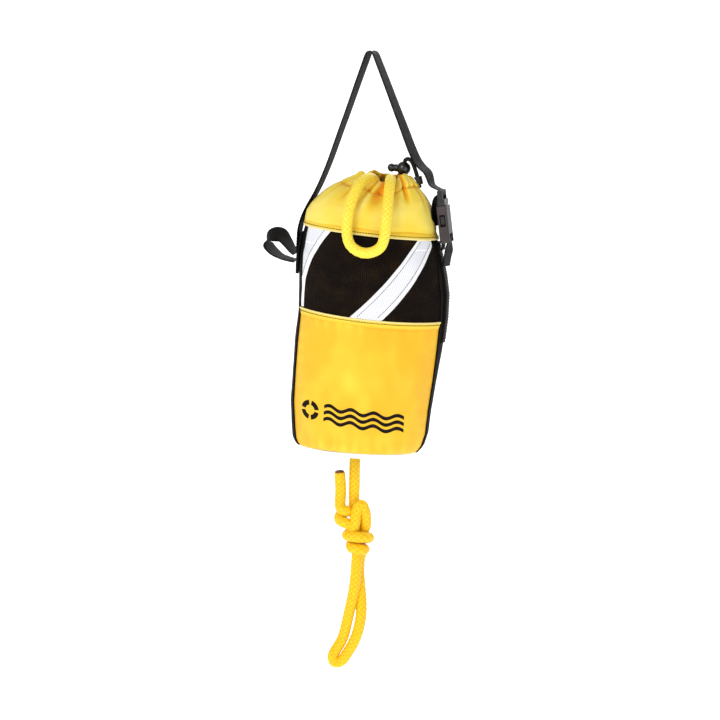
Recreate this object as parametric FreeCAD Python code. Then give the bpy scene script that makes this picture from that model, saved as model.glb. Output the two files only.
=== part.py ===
import FreeCAD, Part

import math
import os

# A throw rope bag that hangs by its strap. Millimetres, +Z up, -Y is the front.
# The origin is the inside of the hang strap's apex, where a hook or a hand holds it.

# ---- driving dimensions --------------------------------------------------------------
bag_x = 9.5              # the bag's own axis stands this far to the right of the apex
cloth = 1.2              # bag cloth with its coating and seam allowance
binding = 1.2            # hem binding, on top of the cloth
tape_thick = 0.5         # reflective tape, on top of the cloth
tape_width = 23.0
fit_gap = 0.4            # between pieces that lie inside one another

collar_hem_z = -163.0    # bottom edge of the gathered collar
pocket_hem_z = -240.0    # top edge of the lower panels
bottom_z = -374.0
gusset_half = 22.0       # half the width of the side gussets

webbing_width = 20.0
webbing_thick = 1.6
half_web = webbing_width / 2
tilt_z = -178.0          # the strap's two ends turn about this height

rope_d = 9.5
string_d = 3.5

grommet_x = 6.5
grommet_r = 6.25
rope_pivot_z = -381.0    # the hand loop's rope swings about this height

# height, centre from the bag's axis, half width, half depth
body_sections = [
    (bottom_z, 0, 44, 34),
    (-371.5, 0, 50, 40.5),
    (-367.0, 0, 55, 45),
    (-360.0, 0, 58.5, 48),
    (-348.0, 0, 61.5, 50),
    (-325.0, -0.5, 64.3, 51.5),
    (-297.0, 1.5, 65.8, 52.5),
    (-269.0, 4, 67.3, 52.5),
    (pocket_hem_z, 6, 68, 52.5),
    (-218.0, 4.5, 67.3, 52.3),
    (-200.0, 1, 65.8, 52),
    (collar_hem_z, 0, 62.5, 51),
]
collar_sections = [
    (collar_hem_z, 0, 62.5, 51),
    (-155.5, -1, 60.8, 49.5),
    (-148.0, -2, 58, 47),
    (-141.0, -1, 54.5, 44),
    (-134.0, 1, 50, 40),
    (-128.0, 2.5, 45.5, 35.5),
    (-123.0, 4, 40, 31),
    (-119.0, 6, 34, 25.5),
    (-116.0, 8, 28.5, 21),
    (-113.5, 9, 25, 17.5),
    (-111.0, 9, 23, 14.5),
]
mouth_z = collar_sections[-1][0]

os.makedirs("parts", exist_ok=True)
radii_report = []


# ---- helpers -------------------------------------------------------------------------
def vec(x, y, z):
    return FreeCAD.Vector(x, y, z)


def save(name, shape):
    """Write one node and say whether its solid is sound."""
    solids = shape.Solids
    shape = solids[0] if len(solids) == 1 else Part.makeCompound(solids)
    shape.exportStep("parts/" + name + ".step")
    box = shape.BoundBox
    print("%-24s solids %d valid %s vol %9.1f  x %7.1f %7.1f  y %6.1f %6.1f  z %7.1f %7.1f" % (
        name, len(solids), shape.isValid(), shape.Volume,
        box.XMin, box.XMax, box.YMin, box.YMax, box.ZMin, box.ZMax))


def largest(shape):
    return max(shape.Solids, key=lambda solid: solid.Volume)


def box_between(x0, x1, y0, y1, z0, z1):
    return Part.makeBox(x1 - x0, y1 - y0, z1 - z0, vec(x0, y0, z0))


def slab(z0, z1):
    """Everything between two heights."""
    return box_between(-300, 300, -200, 200, z0, z1)


def cylinder(radius, start, end):
    return Part.makeCylinder(radius, (end - start).Length, start, end - start)


def ring(outer_r, inner_r, x, z0, z1):
    outer = cylinder(outer_r, vec(x, 0, z0), vec(x, 0, z1))
    return outer.cut(cylinder(inner_r, vec(x, 0, z0), vec(x, 0, z1)))


def loft(sections, grow):
    """The bag's form through its oval sections, all of them grown by the same amount."""
    wires = []
    for z, centre, half_width, half_depth in sections:
        oval = Part.Ellipse(vec(bag_x + centre, 0, z), half_width + grow, half_depth + grow)
        wires.append(Part.Wire([oval.toShape()]))
    return Part.makeLoft(wires, True, True)


def unit(a, b):
    step = b - a
    return step.multiply(1.0 / step.Length)


def turn_between(a, b, c):
    """The angle by which a route turns at b."""
    cosine = unit(a, b).dot(unit(b, c))
    return math.acos(max(-1.0, min(1.0, cosine)))


def tube(name, points, diameter):
    """A cord through its points: straight runs with the largest tangent arcs they allow."""
    edges = []
    start = points[0]
    for a, b, c in zip(points, points[1:], points[2:]):
        reach = 0.45 * min((b - a).Length, (c - b).Length)
        half_turn = 0.5 * turn_between(a, b, c)
        radius = reach / math.tan(half_turn)
        radii_report.append((name, radius, radius / diameter))
        into = b - unit(a, b).multiply(reach)
        out = b + unit(b, c).multiply(reach)
        towards = unit(b, (into + out).multiply(0.5))
        middle = b + towards.multiply(radius / math.cos(half_turn) - radius)
        edges.append(Part.LineSegment(start, into).toShape())
        edges.append(Part.Arc(into, middle, out).toShape())
        start = out
    edges.append(Part.LineSegment(start, points[-1]).toShape())
    path = Part.Wire(edges)
    section = Part.Wire([Part.Circle(points[0], points[1] - points[0], diameter / 2).toShape()])
    solid = path.makePipeShell([section], True, False)
    expected = math.pi * diameter * diameter / 4 * path.Length
    print("%s: length %.1f, volume %.3f of its section times its length" % (
        name, path.Length, solid.Volume / expected))
    return solid


def ribbon(points, radii, thick, width):
    """Webbing seen on edge in the XZ plane: (x, z) points, with a radius at each inner one."""
    corners = [vec(x, 0, z) for x, z in points]
    pieces = []
    start = corners[0]
    for a, b, c, radius in zip(corners, corners[1:], corners[2:], radii):
        half_turn = 0.5 * turn_between(a, b, c)
        reach = radius * math.tan(half_turn)
        into = b - unit(a, b).multiply(reach)
        out = b + unit(b, c).multiply(reach)
        towards = unit(b, (into + out).multiply(0.5))
        middle = b + towards.multiply(radius / math.cos(half_turn) - radius)
        if (into - start).Length > 0.01:
            pieces.append([(start, unit(a, b)), (into, unit(a, b))])
        pieces.append([(into, unit(a, b)), (middle, unit(into, out)), (out, unit(b, c))])
        start = out
    heading = unit(corners[-2], corners[-1])
    pieces.append([(start, heading), (corners[-1], heading)])

    def side(sign):
        edges = []
        for piece in pieces:
            moved = []
            for point, direction in piece:
                across = vec(-direction.z, 0, direction.x)
                moved.append(point + across.multiply(sign * thick / 2))
            if len(moved) == 2:
                edges.append(Part.LineSegment(moved[0], moved[1]).toShape())
            else:
                edges.append(Part.Arc(moved[0], moved[1], moved[2]).toShape())
        return edges, edges[0].firstVertex().Point, edges[-1].lastVertex().Point

    upper, upper_start, upper_end = side(1)
    lower, lower_start, lower_end = side(-1)
    caps = [Part.LineSegment(upper_start, lower_start).toShape()]
    caps.append(Part.LineSegment(upper_end, lower_end).toShape())
    outline = Part.Wire(Part.__sortEdges__(upper + lower + caps))
    face = Part.Face(outline)
    face.translate(vec(0, -width / 2, 0))
    return face.extrude(vec(0, width, 0))


# ---- the sewn bag --------------------------------------------------------------------
body_outer = loft(body_sections, 0)
inner_sections = [(bottom_z + cloth,) + body_sections[0][1:]] + body_sections[1:]
body_inner = loft(inner_sections, -cloth)
body_cloth = body_outer.cut(body_inner)

front_half = box_between(-300, 300, -200, -gusset_half, -500, 0)
back_half = box_between(-300, 300, gusset_half, 200, -500, 0)
corner_z = -362.0
right_gusset_zone = box_between(bag_x, 300, -gusset_half, gusset_half, corner_z, 0)
left_gusset_zone = box_between(-300, bag_x, -gusset_half, gusset_half, corner_z, 0)
base_zone = box_between(-300, 300, -gusset_half, gusset_half, -500, corner_z)
lower_zone = slab(-500, pocket_hem_z)
mesh_zone = slab(pocket_hem_z, 0)

save("lower_panel_front", body_cloth.common(front_half).common(lower_zone))
save("lower_panel_back", body_cloth.common(back_half).common(lower_zone))
save("mesh_panel_front", body_cloth.common(front_half).common(mesh_zone))
save("mesh_panel_back", body_cloth.common(back_half).common(mesh_zone))
save("gusset_right", body_cloth.common(right_gusset_zone))
save("gusset_left", body_cloth.common(left_gusset_zone))

barrel_r = grommet_r + 0.8
barrel_hole = cylinder(barrel_r, vec(grommet_x, 0, bottom_z - 5), vec(grommet_x, 0, bottom_z + 5))
save("bag_base", body_cloth.common(base_zone).cut(barrel_hole))

collar_outer = loft(collar_sections, 0)
collar = collar_outer.cut(loft(collar_sections, -cloth))
save("collar", collar)

channel_low = mouth_z - 8
channel_form = loft(collar_sections, 3.0).common(slab(channel_low, mouth_z))
save("mouth_channel", channel_form.cut(collar_outer))

# ---- bindings, tapes and side webbing, all on top of the cloth ------------------------
bound_form = loft(body_sections, binding).cut(body_outer)
collar_binding = bound_form.common(slab(collar_hem_z - 6, collar_hem_z - 0.01))
save("collar_hem_binding", collar_binding)
pocket_binding = bound_form.common(slab(pocket_hem_z - 3, pocket_hem_z + 3))
save("pocket_hem_front", pocket_binding.common(front_half))
save("pocket_hem_back", pocket_binding.common(back_half))


def slanted_tape(top_x, low_x, depth_side):
    """One reflective tape over the mesh, from the collar's hem to the lower panel's."""
    top = vec(top_x, 0, collar_hem_z)
    low = vec(low_x, 0, pocket_hem_z)
    along = unit(low, top)
    across = vec(along.z, 0, -along.x).multiply(tape_width / 2)
    reach = vec(along.x, along.y, along.z).multiply(60)
    corners = [low - reach - across, low - reach + across, top + reach + across, top + reach - across]
    outline = Part.makePolygon(corners + [corners[0]])
    strip = Part.Face(outline).extrude(vec(0, depth_side * 200, 0))
    strip = strip.cut(box_between(-300, 300, -12, 12, -500, 0))
    form = loft(body_sections, tape_thick).cut(body_outer)
    return form.common(strip).common(slab(pocket_hem_z + 3, collar_hem_z - 6))


tape_left = (bag_x - 48.0, bag_x - 60.0)
tape_right = (bag_x + 51.0, bag_x + 4.5)
save("tape_front_left", slanted_tape(tape_left[0], tape_left[1], -1))
save("tape_front_right", slanted_tape(tape_right[0], tape_right[1], -1))
save("tape_back_left", slanted_tape(tape_left[0], tape_left[1], 1))
save("tape_back_right", slanted_tape(tape_right[0], tape_right[1], 1))

side_form = loft(body_sections, webbing_thick).cut(body_outer)
side_top_z = collar_hem_z - 6.5
side_left = box_between(-300, bag_x, -half_web, half_web, -208, side_top_z)
side_right = box_between(bag_x, 300, -half_web, half_web, -262, side_top_z)
save("side_webbing_left", side_form.common(side_left))
save("side_webbing_right", side_form.common(side_right))

# ---- grommet at the bottom, and what the bag holds -------------------------------------
flange_r = 11.0
flange_low = bottom_z - 1.4
inside_low = bottom_z + cloth
grommet = ring(flange_r, grommet_r, grommet_x, flange_low, bottom_z)
grommet = grommet.fuse(ring(barrel_r, grommet_r, grommet_x, flange_low, inside_low + 1.2))
save("grommet_outer", grommet.removeSplitter())
save("grommet_inner", ring(flange_r, barrel_r, grommet_x, inside_low, inside_low + 1.0))

disc_low = inside_low + 1.5
disc_top = disc_low + 10
rope_r = rope_d / 2
stub_axis_low = vec(grommet_x, 0, rope_pivot_z + rope_r + 0.5)
stub = cylinder(rope_r, stub_axis_low, vec(grommet_x, 0, disc_top))
filling = loft(inner_sections, -cloth - fit_gap)
disc = filling.common(slab(disc_low, disc_top))
disc = disc.cut(cylinder(rope_r + fit_gap, vec(grommet_x, 0, disc_low - 1), vec(grommet_x, 0, disc_top + 1)))
save("float_disc", disc)
save("rope_stub", stub)

knot_centre = vec(grommet_x, 0, disc_top + 12)
stopper = Part.makeSphere(14, knot_centre).common(slab(disc_top, disc_top + 24))
save("stopper_knot", stopper)
load_top = -142.0
packed = filling.common(slab(disc_top, collar_hem_z))
packed = packed.fuse(loft(collar_sections, -cloth - fit_gap).common(slab(collar_hem_z, load_top)))
packed = packed.cut(stopper)
save("packed_rope", packed.removeSplitter())

# ---- buckle, drawn upright about its mouth and then leaned along the strap's pull -------
buckle_lean = 10.0
buckle_mouth = vec(74.3, 0, -136)
body_half_x = 4.75
body_half_y = 13.2
bar_up = 12.6
bar_r = 1.5


def lean(shape):
    shape.rotate(vec(0, 0, 0), vec(0, 1, 0), -buckle_lean)
    shape.translate(buckle_mouth)
    return shape


lean_rad = math.radians(buckle_lean)
buckle_up = vec(-math.sin(lean_rad), 0, math.cos(lean_rad))


def socket_shape():
    rails_low = -34.0
    shell = box_between(-body_half_x, body_half_x, -body_half_y, body_half_y, rails_low, 0)
    shell = shell.makeFillet(1.8, [e for e in shell.Edges if abs(e.tangentAt(0).z) > 0.9])
    shell = shell.cut(box_between(-3.35, 3.35, -11.4, 11.4, -24, 1))
    shell = shell.cut(box_between(-2.7, 2.7, -20, 20, -19, -8))
    shell = shell.cut(box_between(-10, 10, -10.5, 10.5, -40, -26))
    return shell.fuse(cylinder(bar_r, vec(0, -11, -31.5), vec(0, 11, -31.5))).removeSplitter()


def plug_shape():
    base = box_between(-3.6, 3.6, -body_half_y, body_half_y, 0.6, 6.0)
    base = base.makeFillet(1.2, [e for e in base.Edges if abs(e.tangentAt(0).z) > 0.9])
    shape = base
    for side in (-1, 1):
        inner = side * 10.4
        outer = side * body_half_y
        shape = shape.fuse(box_between(-2.4, 2.4, min(inner, outer), max(inner, outer), 6.0, 14.4))
    shape = shape.fuse(cylinder(bar_r, vec(0, -11, bar_up), vec(0, 11, bar_up)))
    tongue = box_between(-1.6, 1.6, -2.2, 2.2, -19, 0.6)
    return shape.fuse(tongue).removeSplitter()


def prong_shape(side):
    """A spring arm: its root by the plug, its barb out through the socket's side window."""
    outline = [
        (5.6, 0.0), (8.4, 0.0), (8.4, -7.0), (12.6, -9.6),
        (12.6, -14.0), (9.6, -20.5), (7.4, -20.5), (5.6, -9.0),
    ]
    corners = [vec(-1.8, side * y, z) for y, z in outline]
    return Part.Face(Part.makePolygon(corners + [corners[0]])).extrude(vec(3.6, 0, 0))


save("buckle_socket", lean(socket_shape()))
save("buckle_plug", lean(plug_shape()))
save("plug_prong_front", lean(prong_shape(-1)))
save("plug_prong_rear", lean(prong_shape(1)))

# ---- hang strap: a triangle of webbing, sewn at the left and turned round the plug's bar -
wrap_r = bar_r + fit_gap + webbing_thick / 2
end_x = bag_x - 67.6
fold_line = vec(47.3, 0, -103.4)
plug_bar = buckle_mouth + buckle_up * bar_up
towards_bar = unit(fold_line, plug_bar)
above_bar = vec(-towards_bar.z, 0, towards_bar.x)
leg_foot = fold_line + above_bar * wrap_r
turn_one = plug_bar + above_bar * wrap_r + towards_bar * wrap_r
turn_two = plug_bar - above_bar * wrap_r + towards_bar * wrap_r
strap_points = [
    (end_x, tilt_z - half_web),
    (end_x, -166.0),
    (bag_x - 63.2, -149.5),
    (-38.6, -121.0),
    (-0.51, 8.27),
    (leg_foot.x, leg_foot.z),
    (turn_one.x, turn_one.z),
    (turn_two.x, turn_two.z),
    (67.4, -127.0),
    (66.6, -141.0),
    (68.9, -152.0),
]
strap_radii = [20, 20, 60, 4, 12, wrap_r, wrap_r, 3, 30]
strap = ribbon(strap_points, strap_radii, webbing_thick, webbing_width)
above_tilt = slab(tilt_z, 50)
round_end = cylinder(half_web, vec(end_x - 5, 0, tilt_z), vec(end_x + 5, 0, tilt_z))
strap = strap.common(above_tilt.fuse(round_end))
save("hang_strap", strap)

# ---- webbing from the socket's bar down to the side ---------------------------------------
socket_bar = buckle_mouth - buckle_up * 31.5
strap_top_z = socket_bar.z + wrap_r
hung = ribbon(
    [(socket_bar.x - wrap_r, -176.5), (socket_bar.x - wrap_r, strap_top_z),
     (socket_bar.x + wrap_r, strap_top_z), (socket_bar.x + wrap_r, tilt_z - half_web)],
    [wrap_r, wrap_r], webbing_thick, webbing_width)
round_end = cylinder(half_web, vec(60, 0, tilt_z), vec(100, 0, tilt_z))
hung = hung.common(above_tilt.fuse(round_end))
save("socket_strap", hung)

# ---- side loop: a teardrop of webbing sewn into the left seam ------------------------------
loop_root = (bag_x - 69.6, -196.0)
loop = ribbon(
    [(loop_root[0] - 0.4, loop_root[1] + 1.2), (bag_x - 77.5, -184.0), (bag_x - 88.0, -167.5),
     (bag_x - 103.5, -178.5), (bag_x - 87.0, -195.5), (loop_root[0] - 0.4, loop_root[1] - 1.2)],
    [25, 6, 9, 12], webbing_thick, webbing_width)
knuckle = cylinder(2.0, vec(loop_root[0], -half_web, loop_root[1]), vec(loop_root[0], half_web, loop_root[1]))
save("side_loop", loop.fuse(knuckle).removeSplitter())

# ---- drawstring, its eyelet and its lock ---------------------------------------------------
lock_x = 35.3
lock_y = 3.0
lock_z = -104.5
lock_r = 6.5
string_points = [
    (50.4, -118.5), (48.2, -110.3), (44.9, -102.0), (41.9, -96.5), (37.96, -95.8),
    (lock_x, -98.0), (lock_x, -113.5),
]
string = tube("drawstring", [vec(x, lock_y, z) for x, z in string_points], string_d)
mouth_form = collar_outer.fuse(channel_form)
string = largest(string.cut(mouth_form))
save("drawstring", string)

eyelet_foot = vec(string_points[0][0], lock_y, string_points[0][1])
eyelet_way = unit(eyelet_foot, vec(string_points[1][0], lock_y, string_points[1][1]))
eyelet = cylinder(4.2, eyelet_foot, eyelet_foot + eyelet_way * 7.5)
eyelet = eyelet.cut(cylinder(string_d / 2 + 0.2, eyelet_foot, eyelet_foot + eyelet_way * 9))
save("drawstring_eyelet", largest(eyelet.cut(mouth_form)))

lock_centre = vec(lock_x, lock_y, lock_z)
stem_r = 3.4
bore_end = 5.2
ball = Part.makeSphere(lock_r, lock_centre)
ball = ball.cut(cylinder(stem_r + 0.3, lock_centre - vec(lock_r + 1, 0, 0), lock_centre + vec(bore_end, 0, 0)))
ball = ball.cut(cylinder(string_d / 2 + 0.5, lock_centre - vec(0, 0, 10), lock_centre + vec(0, 0, 10)))
save("cord_lock_body", ball)

press_travel = 1.5
stem_end = 2.9
plunger = cylinder(stem_r, lock_centre - vec(8.6, 0, 0), lock_centre + vec(stem_end, 0, 0))
plunger = plunger.fuse(Part.makeSphere(3.9, lock_centre - vec(11.2, 0, 0)))
slot = box_between(-4.0, 2.2, -2.1, 2.1, -8, 8)
slot.translate(lock_centre)
save("cord_lock_plunger", plunger.cut(slot).removeSplitter())

spring_wire = 0.4
spring_length = bore_end - stem_end - spring_wire - 0.1
helix = Part.makeHelix(spring_length / 2, spring_length, 2.6)
start = helix.Edges[0].firstVertex().Point
wire_section = Part.Wire([Part.Circle(start, vec(0, 1, 0), spring_wire / 2).toShape()])
spring = Part.Wire(helix.Edges).makePipeShell([wire_section], True, True)
spring.rotate(vec(0, 0, 0), vec(0, 1, 0), 90)
spring.translate(lock_centre + vec(stem_end + spring_wire / 2 + 0.05, 0, 0))
save("cord_lock_spring", spring)

# ---- grab loop: a bight of the packed rope, out of the mouth and down over the front --------
grab_y = -6.0
grab_z = -103.5
grab_right_x = 26.0
grab_left_x = 11.5
grab_points = [
    (grab_right_x, grab_y, grab_z), (27.5, -24, -107), (29.5, -39, -118.5), (31, -53, -140),
    (31.5, -58.5, -166), (14.0, -60.0, -185.0), (-4.5, -58.5, -166), (-3.5, -52.5, -140),
    (1.5, -39, -118.5), (9.0, -23, -107), (grab_left_x, grab_y, grab_z),
]
grab = tube("grab_loop", [vec(*point) for point in grab_points], rope_d)
for x in (grab_right_x, grab_left_x):
    grab = grab.fuse(Part.makeSphere(rope_r, vec(x, grab_y, grab_z)))
save("grab_loop", grab)

rope_ends = []
for x in (grab_right_x, grab_left_x):
    rope_ends.append(cylinder(rope_r, vec(x, grab_y, load_top), vec(x, grab_y, grab_z - rope_r - 1.8)))
save("mouth_rope", Part.makeCompound(rope_ends))

# ---- hand loop below the bag: drop, knot, loop and tail -----------------------------------
knot_sections = [(-464.5, 9, 7), (-459, 15.5, 11), (-441, 18, 13), (-423, 16, 11), (-416, 9, 7)]
knot_wires = []
for z, half_width, half_depth in knot_sections:
    oval = Part.Ellipse(vec(9.5, 0, z), half_width, half_depth)
    knot_wires.append(Part.Wire([oval.toShape()]))
knot = Part.makeLoft(knot_wires, True, False)
save("rope_knot", knot)

drop_top = vec(grommet_x, 0, rope_pivot_z)
drop = cylinder(rope_r, drop_top, vec(8.5, 0, -420)).fuse(Part.makeSphere(rope_r, drop_top))
save("rope_drop", drop.cut(knot).removeSplitter())

tail = cylinder(rope_r, vec(-6.6, -4.5, -391), vec(0.5, -4.5, -426))
save("rope_tail", tail.cut(knot))

loop_points = [
    (13.0, 5.2, -452), (15.0, 5.0, -480), (12.5, 2.5, -504), (9.5, 0.5, -523), (4.5, 0, -540),
    (-2.8, 0, -556.2), (3.2, 0, -563.6), (12.5, 0, -562), (16, 0, -552),
    (19.4, 0, -537), (22.2, -0.5, -520), (20.5, -2.5, -500), (15.0, -5.0, -478), (13.5, -5.2, -452),
]
hand_loop = tube("rope_loop", [vec(*point) for point in loop_points], rope_d)
save("rope_loop", hand_loop.cut(knot))

for name, radius, in_diameters in radii_report:
    print("%-12s bend radius %6.1f mm, %5.1f diameters" % (name, radius, in_diameters))
print("socket bar at x %.2f z %.2f, plug bar at x %.2f z %.2f" % (
    socket_bar.x, socket_bar.z, plug_bar.x, plug_bar.z))
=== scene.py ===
"""Looks of the throw rope bag: cloth, webbing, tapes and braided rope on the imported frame."""
import math
import bpy
import numpy as np
from mathutils import Matrix, Vector, noise


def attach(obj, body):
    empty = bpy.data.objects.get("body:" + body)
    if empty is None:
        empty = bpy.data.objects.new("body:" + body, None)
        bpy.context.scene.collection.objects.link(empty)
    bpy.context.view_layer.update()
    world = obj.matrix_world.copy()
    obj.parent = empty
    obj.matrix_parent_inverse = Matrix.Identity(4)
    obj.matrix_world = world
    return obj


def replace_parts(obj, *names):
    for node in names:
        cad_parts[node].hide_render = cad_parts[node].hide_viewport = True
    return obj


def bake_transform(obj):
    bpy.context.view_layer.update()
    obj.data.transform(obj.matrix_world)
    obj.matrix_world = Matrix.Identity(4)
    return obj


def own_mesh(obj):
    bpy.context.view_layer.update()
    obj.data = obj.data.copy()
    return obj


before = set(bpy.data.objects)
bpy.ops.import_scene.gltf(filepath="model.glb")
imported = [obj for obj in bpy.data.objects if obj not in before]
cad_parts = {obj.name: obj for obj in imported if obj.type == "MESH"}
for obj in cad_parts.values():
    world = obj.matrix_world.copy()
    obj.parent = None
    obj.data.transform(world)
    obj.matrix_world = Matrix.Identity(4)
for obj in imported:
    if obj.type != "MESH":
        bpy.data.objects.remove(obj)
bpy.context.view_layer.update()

# Lengths below are in millimetres, as in the part's source, and mm() turns them into metres.
BAG_X = 9.5
HALF_GUSSET = 22.0
COLLAR_HEM = -163.0
POCKET_HEM = -240.0
BOTTOM = -366.0
GROMMET_Z = -374.0
MOUTH = -111.0
CHANNEL_LOW = -121.0
ROPE = 9.5
STRING = 3.5
WEB = 20.0
WEB_THICK = 1.6
TAPE_WIDE = 23.0
CLOTH = 1.2
GROMMET_X = 6.5
GROMMET_HOLE = 7.2
# The radius that turns an angle round the bag into a length along the cloth.
AROUND = 60
TAU = 2 * math.pi


def mm(point):
    return Vector(point) * 0.001


# ---- camera, light and floor ----------------------------------------------------------
LENS = 162
CAMERA_AIM = (5.7, 0, -284.8)
CAMERA_DISTANCE = 3.01


def place_camera():
    azimuth, elevation, roll = math.radians(9), math.radians(7), math.radians(3.4)
    away = Vector((math.sin(azimuth) * math.cos(elevation),
                   -math.cos(azimuth) * math.cos(elevation), math.sin(elevation)))
    data = bpy.data.cameras.new("camera")
    data.lens = LENS
    data.sensor_width = 36
    camera = bpy.data.objects.new("camera", data)
    bpy.context.scene.collection.objects.link(camera)
    turn = away.to_track_quat("Z", "Y").to_matrix().to_4x4()
    place = Matrix.Translation(mm(CAMERA_AIM) + away * CAMERA_DISTANCE)
    camera.matrix_world = place @ turn @ Matrix.Rotation(roll, 4, "Z")
    bpy.context.scene.camera = camera


def area_light(name, place, aim, size, power):
    data = bpy.data.lights.new(name, "AREA")
    data.shape = "DISK"
    data.size = size
    data.energy = power
    light = bpy.data.objects.new(name, data)
    bpy.context.scene.collection.objects.link(light)
    light.location = place
    light.rotation_euler = (Vector(place) - Vector(aim)).to_track_quat("Z", "Y").to_euler()


def linear(code):
    """A colour written as #RRGGBB, as the shader's linear numbers."""
    values = [int(code[i:i + 2], 16) / 255 for i in (1, 3, 5)]
    turned = [v / 12.92 if v <= 0.04045 else ((v + 0.055) / 1.055) ** 2.4 for v in values]
    return (*turned, 1.0)


# ---- materials ---------------------------------------------------------------------------
class Paint:
    """A material's node tree, with short calls for the nodes used here."""

    def __init__(self, name, roughness=0.6, metallic=0.0, specular=0.4, sheen=0.0, coat=0.0):
        self.material = bpy.data.materials.new(name)
        self.material.use_nodes = True
        self.tree = self.material.node_tree
        self.shader = self.tree.nodes["Principled BSDF"]
        self.shader.inputs["Roughness"].default_value = roughness
        self.shader.inputs["Metallic"].default_value = metallic
        self.shader.inputs["Specular IOR Level"].default_value = specular
        self.shader.inputs["Sheen Weight"].default_value = sheen
        self.shader.inputs["Coat Weight"].default_value = coat
        self.bump = None

    def node(self, kind, **settings):
        made = self.tree.nodes.new(kind)
        for key, value in settings.items():
            if key in made.inputs:
                made.inputs[key].default_value = value
            else:
                setattr(made, key, value)
        return made

    def link(self, source, target):
        self.tree.links.new(source, target)

    def space(self, kind, scale=(1, 1, 1)):
        where = self.node("ShaderNodeTexCoord")
        mapping = self.node("ShaderNodeMapping")
        mapping.inputs["Scale"].default_value = scale
        self.link(where.outputs[kind], mapping.inputs["Vector"])
        return mapping.outputs["Vector"]

    def noise(self, scale, detail, stretch=(1, 1, 1)):
        made = self.node("ShaderNodeTexNoise", Scale=scale, Detail=detail)
        self.link(self.space("Object", stretch), made.inputs["Vector"])
        return made.outputs["Fac"]

    def wave(self, across, pitch, distortion=0.0):
        """Bands across U (X) or V (Y), or on the slant, with that pitch in metres."""
        made = self.node("ShaderNodeTexWave", Scale=TAU / 20 / pitch, Distortion=distortion)
        made.wave_type = "BANDS"
        made.bands_direction = across
        self.link(self.space("UV"), made.inputs["Vector"])
        return made.outputs["Fac"]

    def math(self, operation, a, b=0.0):
        made = self.node("ShaderNodeMath", operation=operation)
        for slot, value in zip(made.inputs, (a, b)):
            if isinstance(value, (int, float)):
                slot.default_value = value
            else:
                self.link(value, slot)
        return made.outputs[0]

    def ramp(self, source, stops):
        made = self.node("ShaderNodeValToRGB")
        while len(made.color_ramp.elements) < len(stops):
            made.color_ramp.elements.new(0.5)
        for element, (place, colour) in zip(made.color_ramp.elements, stops):
            element.position = place
            element.color = linear(colour)
        self.link(source, made.inputs["Fac"])
        return made.outputs["Color"]

    def mix(self, share, a, b, how="MIX"):
        made = self.node("ShaderNodeMix", data_type="RGBA", blend_type=how)
        if isinstance(share, (int, float)):
            made.inputs[0].default_value = share
        else:
            self.link(share, made.inputs[0])
        for slot, value in ((made.inputs[6], a), (made.inputs[7], b)):
            if isinstance(value, tuple):
                slot.default_value = value
            else:
                self.link(value, slot)
        return made.outputs[2]

    def painted_crease_shade(self):
        """The shade level written on each point by the mesh code, for painted shade: 0 in a crease, painted
        dark, 1 on a crest, painted light.
        """
        return self.node("ShaderNodeAttribute", attribute_name="height").outputs["Fac"]

    def colour(self, source):
        self.link(source, self.shader.inputs["Base Color"])

    def rough(self, source, low, high):
        spread = self.math("MULTIPLY_ADD", source, high - low)
        spread.node.inputs[2].default_value = low
        self.link(spread, self.shader.inputs["Roughness"])

    def raise_by(self, source, distance, strength=1.0):
        bump = self.node("ShaderNodeBump", Strength=strength, Distance=distance)
        self.link(source, bump.inputs["Height"])
        if self.bump:
            self.link(self.bump.outputs["Normal"], bump.inputs["Normal"])
        self.bump = bump
        self.link(bump.outputs["Normal"], self.shader.inputs["Normal"])


def plain_weave(paint, pitch):
    """Over and under threads of that pitch in metres, as one height."""
    return paint.math("MULTIPLY", paint.wave("X", pitch), paint.wave("Y", pitch))


def cloth_yellow():
    paint = Paint("cloth_yellow", roughness=0.55, specular=0.25, sheen=0.08)
    # Painted shade and highlight: creases are painted deep orange, crests pale yellow.
    painted_fold_shade = paint.ramp(paint.painted_crease_shade(), [(0.0, "#D97800"), (0.3, "#FFB00A"), (0.6, "#F7C226"),
                                        (0.8, "#FFE048"), (1.0, "#FFEE78")])
    dust = paint.noise(38.0, 5.0)
    weave = plain_weave(paint, 0.0006)
    tint = paint.ramp(dust, [(0.3, "#F4F2EE"), (0.7, "#FFFFFF")])
    # The painted shade, multiplied by the dust's uneven tone.
    shade = paint.mix(0.8, painted_fold_shade, tint, "MULTIPLY")
    threads = paint.ramp(weave, [(0.0, "#EFE6D6"), (0.5, "#FFFFFF")])
    paint.colour(paint.mix(0.6, shade, threads, "MULTIPLY"))
    paint.rough(dust, 0.45, 0.65)
    paint.raise_by(paint.noise(95.0, 4.0), 0.0006, 0.6)
    paint.raise_by(weave, 0.00012, 0.7)
    return paint.material


def cloth_black():
    paint = Paint("cloth_black", roughness=0.8, specular=0.08)
    # Painted shade and highlight: creases are painted near black, crests a lighter brown-black.
    painted_fold_shade = paint.ramp(paint.painted_crease_shade(), [(0.0, "#040303"), (0.6, "#0F0B0A"), (1.0, "#1C1614")])
    weave = plain_weave(paint, 0.0007)
    threads = paint.ramp(weave, [(0.0, "#A8A5A2"), (0.6, "#FFFFFF")])
    paint.colour(paint.mix(0.8, painted_fold_shade, threads, "MULTIPLY"))
    paint.rough(paint.noise(55.0, 4.0), 0.6, 0.8)
    paint.raise_by(paint.noise(80.0, 4.0), 0.0006, 0.5)
    paint.raise_by(weave, 0.00015, 0.8)
    return paint.material


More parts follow.
